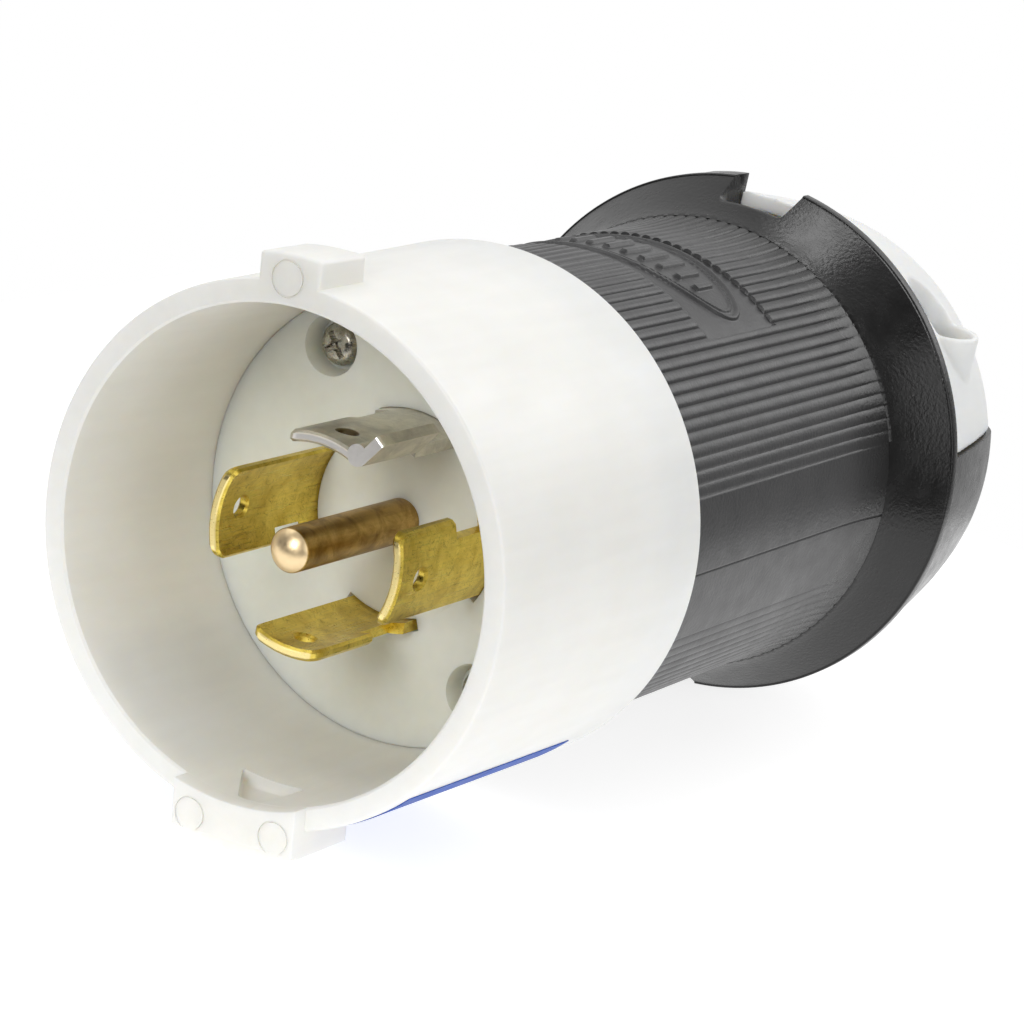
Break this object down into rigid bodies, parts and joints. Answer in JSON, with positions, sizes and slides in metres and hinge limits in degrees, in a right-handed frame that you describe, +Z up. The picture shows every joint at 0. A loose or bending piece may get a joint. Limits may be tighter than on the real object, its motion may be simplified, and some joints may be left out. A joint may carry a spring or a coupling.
{
  "type": "shrouded locking power plug",
  "caption": "Locking cord plug whose curved blades and ground pin sit inside a deep shroud with coupling lugs; ribbed housing with a screwed cord clamp.",
  "frame": {"origin": "centre of the ground pin where it leaves the plug's face", "axes": "the plug's axis is Y: blades point to -Y and the cord leaves to +Y; +Z is up through the middle of the cord clamp's loose jaw; +X is to the right seen from the blades' side"},
  "size_m": [0.0794, 0.1525, 0.0788],
  "materials": {
    "shroud_nylon": "satin, slightly translucent",
    "label_film": "smooth printed film",
    "carrier_nylon": "satin",
    "contact_brass": "rolled, lightly scratched",
    "contact_nickel": "dull nickel plate",
    "pin_brass": "turned, lightly tarnished",
    "housing_nylon": "moulded, fine texture",
    "jaw_nylon": "satin, slightly translucent",
    "screw_nickel": "dull nickel plate",
    "screw_zinc": "bright zinc plate",
    "terminal_steel": "zinc plate",
    "screw_brass": "turned",
    "screw_silver": "nickel plate",
    "screw_green": "green-dyed plate",
    "shield_rubber": "matt"
  },
  "bodies": {
    "plug": {"shroud": "shroud_nylon", "id_label": "label_film", "contact_carrier": "carrier_nylon", "terminal_retainer": "carrier_nylon", "retainer_screws": "screw_zinc", "blade_x": "contact_brass", "blade_y": "contact_brass", "blade_z": "contact_brass", "blade_neutral": "contact_nickel", "ground_pin": "pin_brass", "assembly_screws": "screw_nickel", "assembly_nuts": "screw_zinc", "housing": "housing_nylon", "clamp_nuts": "screw_zinc", "dust_shield": "shield_rubber"},
    "clamp_jaw": {"cord_clamp_jaw": "jaw_nylon"},
    "clamp_screw_left": {"clamp_screw_left": "screw_zinc"},
    "clamp_screw_right": {"clamp_screw_right": "screw_zinc"},
    "plate_x": {"pressure_plate_x": "terminal_steel"},
    "terminal_screw_x": {"terminal_screw_x": "screw_brass"},
    "plate_y": {"pressure_plate_y": "terminal_steel"},
    "terminal_screw_y": {"terminal_screw_y": "screw_brass"},
    "plate_z": {"pressure_plate_z": "terminal_steel"},
    "terminal_screw_z": {"terminal_screw_z": "screw_brass"},
    "plate_neutral": {"pressure_plate_neutral": "terminal_steel"},
    "terminal_screw_neutral": {"terminal_screw_neutral": "screw_silver"},
    "plate_ground": {"pressure_plate_ground": "terminal_steel"},
    "terminal_screw_ground": {"terminal_screw_ground": "screw_green"}
  },
  "joints": [
    {"name": "jaw_lift", "type": "slide", "parent": "plug", "child": "clamp_jaw", "axis": [0, 0, 1], "range_m": [0, 0.006]},
    {"name": "clamp_screw_left_turn", "type": "hinge", "parent": "clamp_jaw", "child": "clamp_screw_left", "pos_m": [-0.0265, 0.102, 0.016], "axis": [0, 0, 1], "range_deg": [0, 2722]},
    {"name": "clamp_screw_right_turn", "type": "hinge", "parent": "clamp_jaw", "child": "clamp_screw_right", "pos_m": [0.0265, 0.102, 0.016], "axis": [0, 0, 1], "range_deg": [0, 2722]},
    {"name": "plate_x_open", "type": "slide", "parent": "plug", "child": "plate_x", "axis": [-1, 0, 0], "range_m": [0, 0.003]},
    {"name": "terminal_screw_x_turn", "type": "hinge", "parent": "plate_x", "child": "terminal_screw_x", "pos_m": [-0.0176, 0.0195, 0], "axis": [-1, 0, 0], "range_deg": [0, 1350]},
    {"name": "plate_y_open", "type": "slide", "parent": "plug", "child": "plate_y", "axis": [0, 0, -1], "range_m": [0, 0.003]},
    {"name": "terminal_screw_y_turn", "type": "hinge", "parent": "plate_y", "child": "terminal_screw_y", "pos_m": [0, 0.0195, -0.0176], "axis": [0, 0, -1], "range_deg": [0, 1350]},
    {"name": "plate_z_open", "type": "slide", "parent": "plug", "child": "plate_z", "axis": [1, 0, 0], "range_m": [0, 0.003]},
    {"name": "terminal_screw_z_turn", "type": "hinge", "parent": "plate_z", "child": "terminal_screw_z", "pos_m": [0.0176, 0.0195, 0], "axis": [1, 0, 0], "range_deg": [0, 1350]},
    {"name": "plate_neutral_open", "type": "slide", "parent": "plug", "child": "plate_neutral", "axis": [0, 0, 1], "range_m": [0, 0.003]},
    {"name": "terminal_screw_neutral_turn", "type": "hinge", "parent": "plate_neutral", "child": "terminal_screw_neutral", "pos_m": [0, 0.0195, 0.0176], "axis": [0, 0, 1], "range_deg": [0, 1350]},
    {"name": "plate_ground_open", "type": "slide", "parent": "plug", "child": "plate_ground", "axis": [-0.7071, 0, -0.7071], "range_m": [0, 0.003]},
    {"name": "terminal_screw_ground_turn", "type": "hinge", "parent": "plate_ground", "child": "terminal_screw_ground", "pos_m": [-0.01245, 0.0195, -0.01245], "axis": [-0.7071, 0, -0.7071], "range_deg": [0, 1350]}
  ],
  "couplings": [
    {"joint": "clamp_screw_left_turn", "follows": "jaw_lift", "rad_per_m": 7915.8},
    {"joint": "clamp_screw_right_turn", "follows": "jaw_lift", "rad_per_m": 7915.8},
    {"joint": "terminal_screw_x_turn", "follows": "plate_x_open", "rad_per_m": 7854},
    {"joint": "terminal_screw_y_turn", "follows": "plate_y_open", "rad_per_m": 7854},
    {"joint": "terminal_screw_z_turn", "follows": "plate_z_open", "rad_per_m": 7854},
    {"joint": "terminal_screw_neutral_turn", "follows": "plate_neutral_open", "rad_per_m": 7854},
    {"joint": "terminal_screw_ground_turn", "follows": "plate_ground_open", "rad_per_m": 7854}
  ]
}
